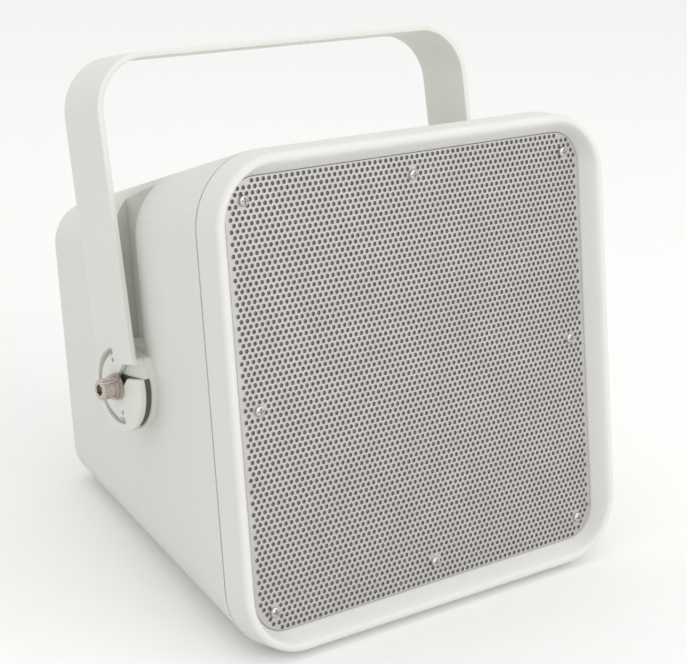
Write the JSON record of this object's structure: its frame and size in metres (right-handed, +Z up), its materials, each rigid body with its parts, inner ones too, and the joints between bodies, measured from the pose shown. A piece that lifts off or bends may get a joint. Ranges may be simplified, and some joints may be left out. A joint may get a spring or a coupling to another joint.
{
  "type": "horn speaker",
  "caption": "Square tapered horn speaker with a perforated front, rounded rim, rear cable gland and a friction-held U bracket that tilts about its side pivots.",
  "frame": {"origin": "middle of the flat underside, on the surface that the speaker stands on", "axes": "+X to the speaker's left as seen from behind and right as seen from the front, +Y towards the back, +Z up; the horn's axis lies in the YZ plane and falls 9.5 degrees towards the back, so the front leans back"},
  "size_m": [0.2378, 0.2526, 0.2489],
  "materials": {
    "cream_abs": "fine satin moulded light grey plastic",
    "painted_strap": "light grey powder coat on steel strap",
    "steel_mesh": "perforated sheet, satin",
    "screw_steel": "stainless, turned",
    "acoustic_cloth": "black woven acoustic cloth",
    "seal_rubber": "matt black",
    "pad_rubber": "matt black",
    "dark_abs": "black moulded plastic",
    "cast_aluminium": "die cast",
    "phenolic_film": "amber impregnated film",
    "copper_wire": "enamelled copper winding",
    "zinc_steel": "zinc plated",
    "core_steel": "varnished steel laminations",
    "ferrite": "sintered ferrite ring",
    "brass_insert": "turned brass",
    "terminal_plastic": "natural nylon",
    "wire_jacket": "red vinyl insulation"
  },
  "bodies": {
    "cabinet": {"front_frame": "cream_abs", "grille": "steel_mesh", "grille_screws": "screw_steel", "grille_cloth": "acoustic_cloth", "frame_seal": "seal_rubber", "rear_housing": "cream_abs", "frame_screws": "screw_steel", "horn_flare": "dark_abs", "throat_gasket": "seal_rubber", "driver_plate": "cast_aluminium", "phase_plug": "dark_abs", "diaphragm": "phenolic_film", "voice_coil": "copper_wire", "pole_plate": "zinc_steel", "magnet": "ferrite", "back_plate": "zinc_steel", "driver_screws": "screw_steel", "transformer_core": "core_steel", "transformer_coil": "copper_wire", "transformer_clamp": "zinc_steel", "transformer_screws": "screw_steel", "terminal_block": "terminal_plastic", "terminal_screws": "screw_steel", "lead_wires": "wire_jacket", "gland_body": "dark_abs", "gland_locknut": "dark_abs", "gland_cap": "dark_abs", "gland_seal": "seal_rubber", "pivot_inserts": "brass_insert", "pivot_screws": "screw_steel", "spring_washers": "screw_steel", "plain_washers": "screw_steel", "friction_pads": "pad_rubber"},
    "bracket": {"bracket": "painted_strap"}
  },
  "joints": [
    {"name": "bracket_tilt", "type": "hinge", "parent": "cabinet", "child": "bracket", "pos_m": [0, -0.00268, 0.09627], "axis": [-1, 0, 0], "range_deg": [-20, 75]}
  ]
}
